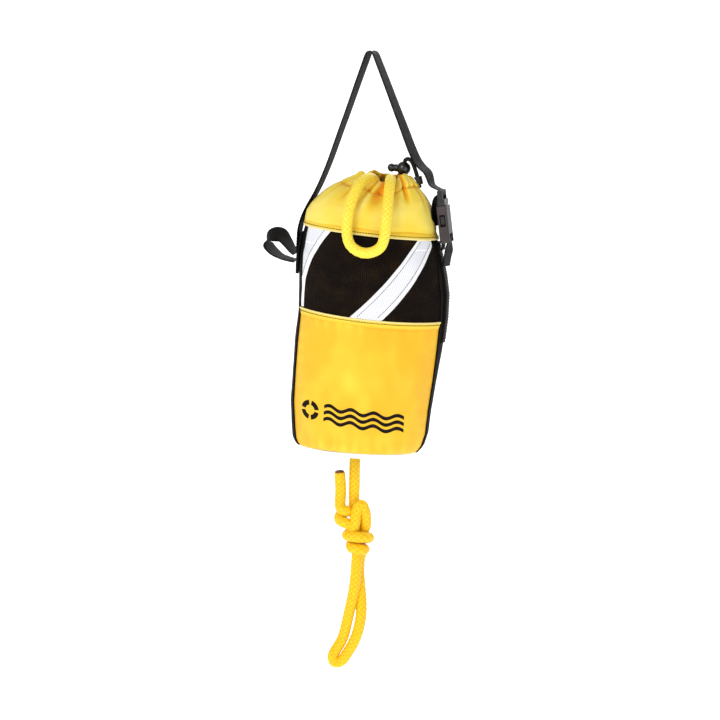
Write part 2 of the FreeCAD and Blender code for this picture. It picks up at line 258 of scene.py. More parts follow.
def mesh_black():
    """Open net: dark threads, and holes painted a dim, mottled rope yellow, painted shade for the rope inside
    the shaded bag.
    """
    paint = Paint("mesh_black", roughness=0.8, specular=0.08)
    rows = paint.wave("Y", 0.0019)
    holes = paint.math("MULTIPLY", rows, paint.wave("X", 0.0019))
    behind = paint.noise(48.0, 3.0, stretch=(1, 1, 1.6))
    # Painted shade: the holes are painted as the rope inside, dimmed as if in the bag's shade.
    rope = paint.ramp(behind, [(0.36, "#0E0703"), (0.55, "#2A1C08"), (0.75, "#4A360C")])
    thread = paint.ramp(rows, [(0.0, "#170F0B"), (0.6, "#080403")])
    open_part = paint.ramp(holes, [(0.35, "#000000"), (0.7, "#FFFFFF")])
    paint.colour(paint.mix(open_part, thread, rope))
    paint.raise_by(holes, 0.0006, 1.0)
    paint.bump.invert = True
    return paint.material


def webbing_black():
    paint = Paint("webbing_black", roughness=0.7, specular=0.1)
    weave = paint.math("MULTIPLY", paint.wave("X", 0.0017), paint.wave("Y", 0.0011, 0.6))
    colour = paint.ramp(weave, [(0.0, "#060404"), (0.5, "#100C0A"), (1.0, "#241D19")])
    worn = paint.ramp(paint.noise(60.0, 4.0), [(0.35, "#D8D4D0"), (0.75, "#FFFFFF")])
    paint.colour(paint.mix(0.8, colour, worn, "MULTIPLY"))
    paint.rough(paint.noise(300.0, 3.0), 0.5, 0.72)
    paint.raise_by(weave, 0.0004, 0.9)
    return paint.material


def rope_yellow(low=False):
    paint = Paint("rope_lower" if low else "rope_upper", roughness=0.55, specular=0.3, sheen=0.06)
    # Painted shade and highlight: the braid's hollows are painted dark, its crests light; the upper rope's ramp
    # is paler throughout.
    stops = [(0.0, "#CC8600"), (0.35, "#E8AA00"), (0.7, "#F5C400"), (1.0, "#FFD414")]
    if not low:
        stops = [(0.0, "#EFB414"), (0.35, "#FCD02C"), (0.7, "#FFE23E"), (1.0, "#FFEE66")]
    strands = paint.ramp(paint.painted_crease_shade(), stops)
    fibre = paint.noise(900.0, 3.0, stretch=(1, 1, 0.35))
    hair = paint.ramp(fibre, [(0.3, "#E4DCCB"), (0.65, "#FFFFFF")])
    paint.colour(paint.mix(0.75, strands, hair, "MULTIPLY"))
    paint.rough(fibre, 0.38, 0.62)
    paint.raise_by(fibre, 0.00025, 0.8)
    return paint.material


def burnt_end():
    paint = Paint("rope_melted_end", roughness=0.4, specular=0.5)
    paint.colour(paint.ramp(paint.noise(600.0, 4.0), [(0.3, "#4A2100"), (0.6, "#8A4A08"), (0.8, "#B06A18")]))
    paint.raise_by(paint.noise(800.0, 3.0), 0.0005, 1.0)
    return paint.material


def string_black():
    paint = Paint("string_black", roughness=0.7, specular=0.12)
    # Painted shade: the cord's braid hollows are painted darker, its crests lighter.
    paint.colour(paint.ramp(paint.painted_crease_shade(), [(0.0, "#050404"), (0.6, "#1A1817"), (1.0, "#33302E")]))
    paint.raise_by(paint.noise(1500.0, 2.0), 0.0001, 0.6)
    return paint.material


def tape_silver():
    """White woven border, and a pale grey prism strip crossed by faint lines."""
    paint = Paint("tape_reflective", roughness=0.35, specular=0.6, sheen=0.05)
    split = paint.node("ShaderNodeSeparateXYZ")
    paint.link(paint.space("UV"), split.inputs[0])
    off = paint.math("ABSOLUTE", paint.math("SUBTRACT", split.outputs["X"], TAPE_WIDE / 2000))
    border = paint.math("GREATER_THAN", off, 0.0071)
    prisms = paint.wave("DIAGONAL", 0.0009)
    pale = paint.ramp(prisms, [(0.0, "#D2D3DA"), (1.0, "#E6E6EC")])
    repeat = paint.math("PINGPONG", split.outputs["Y"], 0.011)
    seam = paint.math("LESS_THAN", repeat, 0.0005)
    centre = paint.mix(seam, pale, linear("#F8F8FA"))
    weave = plain_weave(paint, 0.0006)
    cloth = paint.ramp(weave, [(0.0, "#E2E2E6"), (0.5, "#F6F6F8")])
    paint.colour(paint.mix(border, centre, cloth))
    paint.rough(border, 0.3, 0.65)
    paint.raise_by(prisms, 0.00008, 0.5)
    paint.raise_by(border, 0.0003, 0.7)
    return paint.material


def binding_pale():
    paint = Paint("binding_pale", roughness=0.6, specular=0.25, sheen=0.05)
    threads = plain_weave(paint, 0.0007)
    # Shade ramp for painted shade on the shade level; the piping's points all carry the default level 0.6, so
    # it comes out one pale yellow.
    base = paint.ramp(paint.painted_crease_shade(), [(0.0, "#F5C030"), (0.5, "#FFEE94"), (1.0, "#FFF8C4")])
    lines = paint.ramp(threads, [(0.0, "#E8E0D0"), (0.5, "#FFFFFF")])
    paint.colour(paint.mix(0.7, base, lines, "MULTIPLY"))
    paint.raise_by(threads, 0.0002, 0.8)
    return paint.material


def thread(name, dark, pale):
    paint = Paint(name, roughness=0.5, specular=0.4)
    paint.colour(paint.ramp(paint.noise(2500.0, 2.0), [(0.35, dark), (0.7, pale)]))
    paint.raise_by(paint.noise(3000.0, 2.0), 0.00005, 0.6)
    return paint.material


def print_ink():
    paint = Paint("print_ink", roughness=0.75, specular=0.1)
    paint.colour(paint.ramp(paint.noise(260.0, 5.0), [(0.3, "#0A0605"), (0.75, "#241C18")]))
    paint.raise_by(plain_weave(paint, 0.0006), 0.0001, 0.6)
    return paint.material


def moulded(name, base, pale, roughness, coat=0.0):
    """Moulded plastic with a fine spark-eroded grain, a little dust and faint wear."""
    paint = Paint(name, roughness=roughness, specular=0.5, coat=coat)
    dust = paint.noise(70.0, 5.0)
    paint.colour(paint.ramp(dust, [(0.35, base), (0.75, pale)]))
    paint.rough(dust, roughness - 0.08, roughness + 0.12)
    paint.raise_by(paint.noise(900.0, 2.0), 0.00008, 0.7)
    return paint.material


def metal(name, dark, pale, roughness):
    paint = Paint(name, roughness=roughness, metallic=1.0)
    wear = paint.noise(240.0, 5.0)
    paint.colour(paint.ramp(wear, [(0.3, dark), (0.7, pale)]))
    paint.rough(wear, roughness - 0.08, roughness + 0.15)
    paint.raise_by(paint.noise(900.0, 2.0), 0.00005, 0.5)
    return paint.material


def foam_white():
    paint = Paint("foam", roughness=0.8, specular=0.2)
    cells = paint.node("ShaderNodeTexVoronoi", Scale=450.0)
    paint.link(paint.space("Object"), cells.inputs["Vector"])
    # Painted shade: the cells' pits, sunk by the same bump, are painted a darker grey.
    paint.colour(paint.ramp(cells.outputs["Distance"], [(0.0, "#C8C8C2"), (0.5, "#EFEFEA")]))
    paint.raise_by(cells.outputs["Distance"], 0.0004, 0.7)
    return paint.material


def floor_pale():
    paint = Paint("floor", roughness=0.9, specular=0.1)
    paint.shader.inputs["Emission Color"].default_value = (1, 1, 1, 1)
    paint.shader.inputs["Emission Strength"].default_value = 0.62
    paint.colour(paint.ramp(paint.noise(3.0, 2.0), [(0.3, "#F6F6F6"), (0.7, "#FAFAFA")]))
    return paint.material


# ---- mesh and curve helpers ----------------------------------------------------------------
def make_piece(name, points, faces, material, uvs=None, heights=None):
    """A smooth mesh from points and UVs in millimetres; heights are shade levels that set the painted shade of
    its colour.
    """
    mesh = bpy.data.meshes.new(name)
    mesh.from_pydata((np.asarray(points, float) * 0.001).tolist(), [], faces)
    if uvs is not None:
        corner = np.empty(len(mesh.loops), int)
        mesh.loops.foreach_get("vertex_index", corner)
        layer = mesh.uv_layers.new(name="UVMap")
        layer.data.foreach_set("uv", (np.asarray(uvs, float) * 0.001)[corner].ravel())
    if heights is None:
        heights = np.full(len(points), 0.6)
    # The height attribute holds the painted shade: low values paint a crease dark, high values paint a crest
    # light.
    attribute = mesh.attributes.new("height", "FLOAT", "POINT")
    attribute.data.foreach_set("value", np.asarray(heights, np.float32))
    mesh.polygons.foreach_set("use_smooth", [True] * len(mesh.polygons))
    mesh.materials.append(material)
    piece = bpy.data.objects.new(name, mesh)
    bpy.context.scene.collection.objects.link(piece)
    return piece


def grid_faces(rows, columns, closed=False):
    faces = []
    for r in range(rows - 1):
        for c in range(columns if closed else columns - 1):
            d = (c + 1) % columns
            faces.append((r * columns + c, r * columns + d, (r + 1) * columns + d, (r + 1) * columns + c))
    return faces


def thicken(piece, thickness, offset=-1.0):
    """Give a cloth grid its thickness, and apply it."""
    solid = piece.modifiers.new("thickness", "SOLIDIFY")
    solid.thickness = thickness * 0.001
    solid.offset = offset
    bpy.context.view_layer.update()
    graph = bpy.context.evaluated_depsgraph_get()
    mesh = bpy.data.meshes.new_from_object(piece.evaluated_get(graph))
    mesh.name = piece.name
    piece.modifiers.clear()
    piece.data = mesh
    return piece


def cloth_grid(name, rows, material):
    """A cloth mesh from its rows, each a tuple of its points, its UVs and, where it is shaded, its heights for
    the painted shade.
    """
    points, uvs, *heights = (np.concatenate(part) for part in zip(*rows))
    shade = np.clip(heights[0], 0, 1) if heights else None
    return make_piece(name, points, grid_faces(len(rows), len(rows[0][0])), material, uvs, shade)


def lumps(points, size, seed):
    """Smooth noise between -1 and 1 at points in millimetres, its lumps about that size."""
    return np.array([noise.noise(Vector((x / size + 17.3 * seed, y / size - 5.1 * seed, z / size + 3.7 * seed)))
                     for x, y, z in points])


def spline_points(control, spacing):
    """Evenly spaced points, in millimetres, along the NURBS of the control points."""
    curve = bpy.data.curves.new("route", "CURVE")
    curve.dimensions = "3D"
    spline = curve.splines.new("NURBS")
    spline.points.add(len(control) - 1)
    for point, place in zip(spline.points, control):
        point.co = (*mm(place), 1.0)
    spline.order_u = 3
    spline.use_endpoint_u = True
    spline.resolution_u = 24
    holder = bpy.data.objects.new("route", curve)
    bpy.context.scene.collection.objects.link(holder)
    bpy.context.view_layer.update()
    mesh = bpy.data.meshes.new_from_object(holder)
    raw = np.array([v.co for v in mesh.vertices], float) * 1000
    bpy.data.objects.remove(holder)
    bpy.data.curves.remove(curve)
    bpy.data.meshes.remove(mesh)
    return resample(raw, spacing)


def distances(path):
    """How far along the path each of its points lies."""
    return np.concatenate([[0], np.cumsum(np.linalg.norm(np.diff(path, axis=0), axis=1))])


def resample(points, spacing):
    """Evenly spaced points on straight runs between the given ones."""
    points = np.asarray(points, float)
    along = distances(points)
    count = max(2, int(round(along[-1] / spacing)) + 1)
    places = np.linspace(0, along[-1], count)
    return np.stack([np.interp(places, along, points[:, k]) for k in range(3)], axis=1)


def path_length(points):
    return float(distances(points)[-1])


def frames_along(path, start=(0, 1, 0)):
    """Tangents, and a pair of crossways directions that never twist."""
    tangent = np.gradient(path, axis=0)
    tangent /= np.linalg.norm(tangent, axis=1)[:, None]
    side = np.asarray(start, float)
    sides = []
    for t in tangent:
        side = side - t * side.dot(t)
        side = side / np.linalg.norm(side)
        sides.append(side)
    sides = np.array(sides)
    return tangent, sides, np.cross(tangent, sides)


def capped(points, faces, rows, columns):
    """Close both ends of a tube with a fan about their middles."""
    points = list(points)
    for ring in (0, rows - 1):
        first = ring * columns
        centre = np.mean(points[first:first + columns], axis=0)
        points.append(centre)
        last = len(points) - 1
        for c in range(columns):
            d = (c + 1) % columns
            face = (first + c, last, first + d) if ring else (first + d, last, first + c)
            faces.append(face)
    return points, faces


def round_piece(name, path, radii, sides, material, heights=None):
    """A closed round form about a path, from a row of radii for each of its points."""
    _, one, two = frames_along(path, (0.1, 1, 0.2))
    angle = np.linspace(0, TAU, sides, endpoint=False)
    ring = one[:, None] * np.cos(angle)[None, :, None] + two[:, None] * np.sin(angle)[None, :, None]
    points = (path[:, None] + ring * radii[:, :, None]).reshape(-1, 3)
    points, faces = capped(points, grid_faces(len(path), sides, True), len(path), sides)
    return make_piece(name, points, faces, material, heights=heights)


def tube(name, path, radius, material, sides=8):
    """A plain round cord or piping; radius is a number or one per point."""
    path = np.asarray(path, float)
    return round_piece(name, path, np.broadcast_to(radius, len(path))[:, None], sides, material)


def braid(name, path, diameter, material, carriers=6, lay=2.9, around=48, end=1.0, body=0.93, relief=0.12):
    """A braided rope: two families of strands wound opposite ways, over and under in turn.

    The strands repeat every lay diameters, and end is the last ring's share of its size. The same heights set
    the shade level, so the hollows between strands are painted dark as painted shade.
    """
    angle = np.linspace(0, TAU, around, endpoint=False)
    turn = distances(path)[:, None] / (lay * diameter)
    a = carriers * (angle[None] / TAU - turn)
    b = carriers * (angle[None] / TAU + turn)
    over = np.cos(math.pi * a) * np.cos(math.pi * b)
    crest_a = np.sqrt(np.clip(1 - (1.85 * (a - np.round(a))) ** 2, 0, 1))
    crest_b = np.sqrt(np.clip(1 - (1.85 * (b - np.round(b))) ** 2, 0, 1))
    sign_a = np.cos(math.pi * np.round(a)) * np.cos(math.pi * b)
    sign_b = np.cos(math.pi * np.round(b)) * np.cos(math.pi * a)
    height = np.maximum(crest_a * (0.62 + 0.38 * sign_a), crest_b * (0.62 - 0.38 * sign_b))
    height = np.clip(height + 0.04 * over, 0, 1)
    radius = diameter / 2 * (body + relief * height)
    radius[-1] *= end
    return round_piece(name, path, radius, around, material, np.concatenate([height.ravel(), [0.5, 0.5]]))


def stitches(name, path, outward, material, pitch, length, radius):
    """Sewn thread: a small sunk-ended stitch every pitch along the path, lying on the surface."""
    along = distances(path)
    points, faces = [], []
    sides = 6
    # Each ring of a stitch: its place from 0 to 1, its share of the radius and its lift off the path.
    angle = np.linspace(0, TAU, sides, endpoint=False)
    shape = [(0.0, 0.45, -0.12), (0.18, 0.9, 0.14), (0.5, 1.0, 0.22), (0.82, 0.9, 0.14), (1.0, 0.45, -0.12)]
    for index in range(int((along[-1] - length) / pitch) + 1):
        begin = index * pitch + 0.5 * (pitch - length)
        marks = begin + np.array([s[0] for s in shape]) * length
        where = np.stack([np.interp(marks, along, path[:, k]) for k in range(3)], axis=1)
        up = np.array([np.interp(begin, along, outward[:, k]) for k in range(3)])
        up /= np.linalg.norm(up)
        ahead = where[-1] - where[0]
        ahead /= np.linalg.norm(ahead) + 1e-9
        across = np.cross(ahead, up)
        first = len(points)
        for place, (_, thick, lift) in zip(where, shape):
            centre = place + up * lift
            for turn in angle:
                points.append(centre + radius * thick * (across * math.cos(turn) + up * math.sin(turn)))
        for face in grid_faces(len(shape), sides, True):
            faces.append(tuple(first + i for i in face))
        faces.append(tuple(first + i for i in reversed(range(sides))))
        faces.append(tuple(first + (len(shape) - 1) * sides + i for i in range(sides)))
    return make_piece(name, points, faces, material)


# ---- the bag's form -------------------------------------------------------------------------
# Height, centre from the bag's axis, half width and half depth of each section, near those in part.py.
SECTIONS = [
    (-374.0, -1.8, 49, 38), (-366.0, -1.8, 57, 44.5), (-363.5, -1.4, 59.6, 46.5), (-359.0, -0.8, 61.8, 48.5),
    (-348.0, 0, 64, 50), (-325.0, -0.2, 66, 51.5), (-297.0, 1.5, 67.6, 52.5), (-269.0, 3.1, 68.8, 52.5),
    (-240.0, 4.8, 69.2, 52.5), (-218.0, 4.5, 69.3, 52.3), (-200.0, 2.5, 68, 52), (-187.0, 0.8, 66.2, 51.5),
    (-163.0, -1.2, 61, 50.3), (-155.5, -1.5, 60, 49.3), (-148.0, -2, 57.5, 46.8), (-141.0, -1, 54.3, 44),
    (-134.0, 1, 50, 40), (-128.0, 2.5, 45.2, 35.5), (-123.0, 4, 39.6, 31), (-119.0, 6, 33.6, 25.5),
    (-116.0, 8, 28.5, 21), (-113.5, 9, 25, 17.5), (-111.0, 9, 23, 14.5),
]
SECTION_Z = np.array([s[0] for s in SECTIONS])


def form(z):
    """Centre, half width and half depth of the bag at a height."""
    return [np.interp(z, SECTION_Z, [s[k] for s in SECTIONS]) for k in (1, 2, 3)]


def skin(turn, z):
    """The point of the bag's skin at that angle and height; an angle of -90 degrees is the front."""
    centre, wide, deep = form(z)
    x = BAG_X + centre + wide * np.cos(turn)
    y = deep * np.sin(turn)
    return np.stack([x, y, np.broadcast_to(z, np.shape(x))], axis=-1)


def outward(turn, z):
    """The way out of the skin at that angle and height."""
    _, wide, deep = form(z)
    way = np.stack([np.cos(turn) / wide, np.sin(turn) / deep, np.zeros(np.shape(turn + z))], axis=-1)
    return way / np.linalg.norm(way, axis=-1, keepdims=True)


def seam_turn(z):
    """How far round from the side the gusset's seam lies at a height."""
    return np.arcsin(np.minimum(HALF_GUSSET / form(z)[2], 0.97))


def near_seam(z):
    """How far forward of the middle the front right seam lies: the rope inside pushes it round."""
    return np.interp(z, (-345.0, -240.0, -205.0, -187.0, -163.0), (10.0, 16.0, 17.0, 13.0, 14.5))


def near_seam_turn(z):
    return np.arcsin(near_seam(z) / form(z)[2])


def pocket_height(x):
    """Height of the pocket's hem at x from the bag's axis: it droops a little to the right."""
    return POCKET_HEM - 2.2 - 0.044 * x + 0.00036 * x ** 2


def hem_height(x):
    """Height of the collar's hem at x from the bag's axis."""
    return COLLAR_HEM - 0.2 - 0.05 * x


def level(edge, x):
    """A height that is one number, or a function of x from the bag's axis."""
    return edge(x) if callable(edge) else np.full(np.shape(x), float(edge))


def strip(name, z_low, z_high, turns, material, rows, columns, relief):
    """One cloth panel between two heights; turns(z) gives its first and last angle."""
    points, uvs, ways = [], [], []
    for share in np.linspace(0, 1, rows):
        middle = float((1 - share) * level(z_low, 0.0) + share * level(z_high, 0.0))
        first, last = turns(middle)
        turn = np.linspace(first, last, columns)
        x = skin(turn, middle)[:, 0] - BAG_X
        z = (1 - share) * level(z_low, x) + share * level(z_high, x)
        row = skin(turn, z)
        points.append(row)
        ways.append(outward(turn, z))
        widths = distances(row)
        uvs.append(np.stack([widths - widths[-1] / 2, z], axis=1))
    points = np.concatenate(points)
    offset, heights = relief(points)
    points += np.concatenate(ways) * offset[:, None]
    piece = make_piece(name, points, grid_faces(rows, columns), material, np.concatenate(uvs), heights)
    return thicken(piece, CLOTH)


def front_turns(z):
    return -math.pi + seam_turn(z), -near_seam_turn(z)


def back_turns(z):
    return seam_turn(z), math.pi - seam_turn(z)


def right_turns(z):
    return -near_seam_turn(z), seam_turn(z)


def left_turns(z):
    return math.pi - seam_turn(z), math.pi + seam_turn(z)


def cloth_relief(strength, seed, edges):
    """Soft lumps of the rope inside, and short puckers beside the sewn edges, flat at every seam; the heights
    paint the lumps' crests lighter and their hollows darker, as painted shade.
    """
    def relief(points):
        points = np.asarray(points, float)
        soft = lumps(points, 42, seed)
        fine = lumps(points * (1, 1, 0.6), 13, seed + 3)
        near = (points[:, 0] > BAG_X) & (points[:, 1] < 0)
        from_seam = np.abs(np.abs(points[:, 1]) - np.where(near, near_seam(points[:, 2]), HALF_GUSSET))
        fade = 1 - np.exp(-(from_seam / 4.0) ** 2)
        pull = 0.8 * np.exp(-from_seam / 6.0) * np.sin(points[:, 2] / 1.9 + 2.0 * fine)
        for height in edges:
            off = np.abs(points[:, 2] - level(height, points[:, 0] - BAG_X))
            fade *= 1 - np.exp(-(off / 3.5) ** 2)
            pull += np.exp(-off / 7.0) * np.sin(points[:, 0] / 1.7 + 2.0 * fine)
        offset = fade * (strength * (0.9 * soft + 0.35 * fine) + 0.35 * pull)
        # Painted shade: the shade level rises and falls with the lumps and puckers.
        heights = np.clip(0.62 + 0.1 * soft + 0.08 * fine + 0.1 * pull * fade, 0, 1)
        return offset, heights
    return relief


LOWER = cloth_relief(1.5, 1, (pocket_height, BOTTOM))
UPPER = cloth_relief(0.9, 2, (pocket_height, hem_height))
SIDE = cloth_relief(0.9, 4, (COLLAR_HEM, BOTTOM))


def on_face(x, z, lift, relief, side=-1):
    """Points on the front (side -1) or back cloth at x from the bag's axis, and the way out of it."""
    x, z = np.broadcast_arrays(np.asarray(x, float), np.asarray(z, float))
    centre, wide, _ = form(z)
    turn = side * np.arccos(np.clip((x - centre) / wide, -0.999, 0.999))
    way = outward(turn, z)
    base = skin(turn, z)
    offset, _ = relief(base.reshape(-1, 3))
    return base + way * (offset.reshape(base.shape[:-1]) + lift)[..., None], way


# ---- cloth: panels, gussets, base, collar ------------------------------------------------------
PAINT = {
    "yellow": cloth_yellow(), "black": cloth_black(), "mesh": mesh_black(), "web": webbing_black(),
    "rope": rope_yellow(), "rope_low": rope_yellow(low=True), "burnt": burnt_end(), "string": string_black(),
    "tape": tape_silver(), "pale": binding_pale(), "print": print_ink(), "foam": foam_white(),
    "grey_thread": thread("thread_grey", "#56585E", "#7C7E86"),
    "dark_thread": thread("thread_dark", "#2A1C06", "#4A3510"),
    "gold_thread": thread("thread_gold", "#D89400", "#FFC83A"),
    "black_thread": thread("thread_black", "#161210", "#4A443E"),
    "socket": moulded("buckle_socket_plastic", "#2C2425", "#3C3234", 0.55),
    "plug": moulded("buckle_plug_plastic", "#0E0B0A", "#1E1917", 0.45),
    "lock": moulded("lock_plastic", "#0B0A0A", "#1D1B1A", 0.28, coat=0.3),
    "eyelet": moulded("eyelet_plastic", "#121110", "#262321", 0.4),
    "brass": metal("grommet_brass", "#5E4318", "#9A7434", 0.4),
    "steel": metal("spring_steel", "#8E9094", "#C8CACE", 0.28),
}


def panels():
    """The lower panels, the mesh with its tapes, and the gussets."""
    made = []
    under = COLLAR_HEM + 5
    for side, turns in (("front", front_turns), ("back", back_turns)):
        low = strip("lower_panel_" + side + "_cloth", BOTTOM, pocket_height, turns, PAINT["yellow"],
                    96, 130, LOWER)
        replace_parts(low, "lower_panel_" + side)
        net = strip("mesh_panel_" + side + "_net", pocket_height, under, turns, PAINT["mesh"], 56, 130, UPPER)
        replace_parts(net, "mesh_panel_" + side)
        tapes = slanted_tape("left", side, -1 if side == "front" else 1)
        tapes += slanted_tape("right", side, -1 if side == "front" else 1)
        made += [low, net] + tapes
    for side, turns in (("right", right_turns), ("left", left_turns)):
        piece = strip("gusset_" + side + "_cloth", BOTTOM, under, turns, PAINT["black"], 120, 40, SIDE)
        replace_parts(piece, "gusset_" + side)
        made.append(piece)
    return made


def base_cloth():
    """The bag's bottom, from its rim to the grommet's hole."""
    turn = np.linspace(0, TAU, 121)
    rim = skin(turn, BOTTOM)
    hole = np.stack([GROMMET_X + GROMMET_HOLE * np.cos(turn), GROMMET_HOLE * np.sin(turn),
                     np.full(121, BOTTOM)], axis=1)
    points = np.concatenate([rim * (1 - share) + hole * share for share in np.linspace(0, 1, 22)])
    uvs = points[:, :2].copy()
    near = np.linalg.norm(points[:, :2] - (GROMMET_X, 0), axis=1)
    ripple = lumps(points, 16, 9)
    edge = np.repeat(np.linspace(0, 1, 22), 121)
    points[:, 2] += (GROMMET_Z - BOTTOM) * np.sin(edge * math.pi / 2)
    points[:, 2] += 0.7 * ripple * np.clip((near - 12) / 10, 0, 1) * np.minimum(1, edge * 6)
    # Painted shade: the black cloth is painted lighter and darker with its ripples.
    heights = np.clip(0.5 + 0.4 * ripple, 0, 1)
    piece = make_piece("bag_base_cloth", points, grid_faces(22, 121), PAINT["black"], uvs, heights)
    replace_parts(thicken(piece, CLOTH, 1.0), "bag_base")
    return piece


# Each gather's angle in degrees, half width in degrees and depth in millimetres at the mouth.
GATHERS = [
    (-150, 4, 1.2), (-121, 2.6, 3.4), (-99, 3.0, 3.6), (-84, 7.0, 6.5), (-61, 3.0, 1.4),
    (-45, 3.2, 6.4), (-20, 3.6, 2.4), (-4, 4, 2.2), (12, 5, 4.4), (33, 4, 4.6), (57, 5, 4.2), (81, 4, 5.2),
    (103, 5, 4.4), (127, 4, 4.8), (149, 5, 4.2), (172, 4, 3.6), (189, 4, 2.4),
]


def creases(turn, reach):
    """How deep the gathers' creases are at each angle, where reach runs from 0 at the hem to 1 at the mouth."""
    total = np.zeros(np.shape(turn))
    for index, (angle, half, depth) in enumerate(GATHERS):
        lean = 0.05 * math.sin(index * 2.3) * (1 - reach)
        away = (turn - math.radians(angle) - lean + math.pi) % TAU - math.pi
        spread = math.radians(half) * (1.0 + 0.7 * (1 - reach))
        start = 0.5 + 0.14 * math.sin(index * 1.7)
        grown = np.clip((reach - start) / (0.95 - start), 0, 1) ** 1.2
        total += depth * grown * (np.exp(-(away / spread) ** 2) - 0.28 * np.exp(-(away / spread / 2.6) ** 2))
    return total


def rim_dip(turn):
    """The rim sags under the ropes that cross it at the front."""
    away = (turn + math.radians(82) + math.pi) % TAU - math.pi
    return 7.6 * np.exp(-(away / 0.42) ** 4) + 1.4 * np.sin(5 * turn + 0.6)


def collar_offset(turn, z):
    """How far the collar lies off the skin at an angle and height, and its height for the painted shade: darker
    in the gathers' creases and along the channel's seam.
    """
    reach = np.clip((z - COLLAR_HEM) / (CHANNEL_LOW - COLLAR_HEM), 0, 1)
    deep = creases(turn, reach)
    puff = 1.6 * np.sin(math.pi * reach ** 1.3)
    seam_dip = np.exp(-((z - CHANNEL_LOW) / 1.3) ** 2)
    heights = 0.82 - 0.13 * deep - 0.2 * seam_dip + 0.1 * np.sin(math.pi * reach)
    return 0.4 + puff - deep - 1.0 * seam_dip, heights


def collar_cloth():
    """The gathered collar, with its channel, its hem and the stitches of both."""
    turn = np.linspace(0, TAU, 481)
    rows = []
    hem = hem_height(AROUND * np.cos(turn))
    for share in np.linspace(0, 1, 72):
        z = hem + (CHANNEL_LOW - hem) * share
        offset, height = collar_offset(turn, z)
        base = skin(turn, z)
        soft = lumps(base, 26, 12) * min(1.0, share * 4)
        fine = lumps(base * (1, 1, 0.5), 9, 15) * min(1.0, share * 4) * share
        row = base + outward(turn, z) * (offset + 1.5 * soft + 0.5 * fine)[:, None]
        row[:, 2] -= rim_dip(turn) * share ** 2.5
        # Painted shade: the lumps' crests are painted lighter, their hollows darker.
        rows.append((row, np.stack([turn * AROUND, z], axis=1), height + 0.16 * soft + 0.08 * fine))
    piece = cloth_grid("collar_cloth", rows, PAINT["yellow"])
    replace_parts(thicken(piece, 1.0), "collar")
    channel = channel_cloth(turn)
    sewn_z = CHANNEL_LOW - 0.6
    sewn = edge_line(turn, sewn_z, (collar_offset(turn, sewn_z)[0] + 0.2)[:, None])
    sewn[:, 2] -= rim_dip(turn)
    line = stitches("channel_stitches", sewn, outward(turn, sewn_z), PAINT["gold_thread"], 3.0, 2.2, 0.28)
    hem_pieces = collar_hem()
    return [piece, channel, line] + hem_pieces


def channel_cloth(turn):
    """The drawstring's channel: puffed outside, rolled over the rim and down inside the mouth."""
    rows = []
    tall = MOUTH - CHANNEL_LOW
    # Each row's height, how far it lies inside the collar's skin, and its puff.
    outside = [(CHANNEL_LOW + (tall + 0.4) * s, 0.0, 1.8 * math.sin(math.pi * s))
               for s in np.linspace(0, 1, 12)]
    inside = [(MOUTH + 0.7, 0.9, 0), (MOUTH + 0.5, 1.9, 0), (MOUTH - 0.8, 2.7, 0), (MOUTH - 3, 2.9, 0),
              (MOUTH - 7, 2.6, 0), (MOUTH - 13, 2.2, 0), (MOUTH - 20, 2.0, 0), (MOUTH - 28, 2.0, 0)]
    for z, inward, puff in outside + inside:
        height = min(z, MOUTH)
        offset, shade = collar_offset(turn, height)
        ripple = 0.6 * np.sin(23 * turn + 1.2 * np.sin(3 * turn)) * (1.0 if inward < 2 else 0.4)
        row = edge_line(turn, height, (offset + puff - inward + ripple * 0.6)[:, None])
        row[:, 2] = z + 0.8 * np.sin(9 * turn + 0.8) * (z > MOUTH - 2) - rim_dip(turn)
        # Painted shade: the cloth is painted darker the further it lies inside the mouth.
        rows.append((row, np.stack([turn * AROUND, np.full(len(turn), z - 2 * inward)], axis=1),
                     shade - 0.05 * inward))
    piece = cloth_grid("mouth_channel_cloth", rows, PAINT["yellow"])
    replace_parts(piece, "mouth_channel")
    return piece


def edge_line(turn, z, lift):
    """Points at those angles and heights, lifted off the skin."""
    return skin(turn, z) + outward(turn, z) * lift


def band(name, low, high, turn, lift, node):
    """A cloth edge folded back and sewn down between two heights."""
    # Each row's share of the way between the heights, and its share of the lift.
    profile = [(0.0, 0.3), (0.06, 0.85), (0.2, 1.0), (0.5, 0.8), (0.8, 0.45), (1.0, 0.1)]
    rows = []
    for share, rise in profile:
        z = low + (high - low) * share
        ripple = 0.12 * np.sin(turn * 71 + share * 2)
        # Painted shade: each row is painted lighter the more it is lifted.
        rows.append((edge_line(turn, z, (lift * rise + ripple * rise)[:, None]),
                     np.stack([turn * AROUND, z], axis=1), np.full(len(turn), 0.5 + 0.3 * rise)))
    piece = cloth_grid(name, rows, PAINT["yellow"])
    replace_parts(piece, node)
    return piece


def collar_hem():
    """The collar's folded edge, its thin pale piping and the dark row of stitches above it."""
    turn = np.linspace(0, TAU, 481)
    edge = hem_height(AROUND * np.cos(turn))
    fold = band("collar_hem_binding_cloth", edge - 0.4, edge + 5.5, turn, 1.5,
                "collar_hem_binding")
    piping = tube("collar_hem_piping", edge_line(turn, edge - 0.7, 0.9), 0.95, PAINT["pale"])
    sewn = stitches("collar_hem_stitches", edge_line(turn, edge + 1.2, 1.6), outward(turn, edge),
                    PAINT["dark_thread"], 2.6, 2.2, 0.34)
    return [fold, piping, sewn]


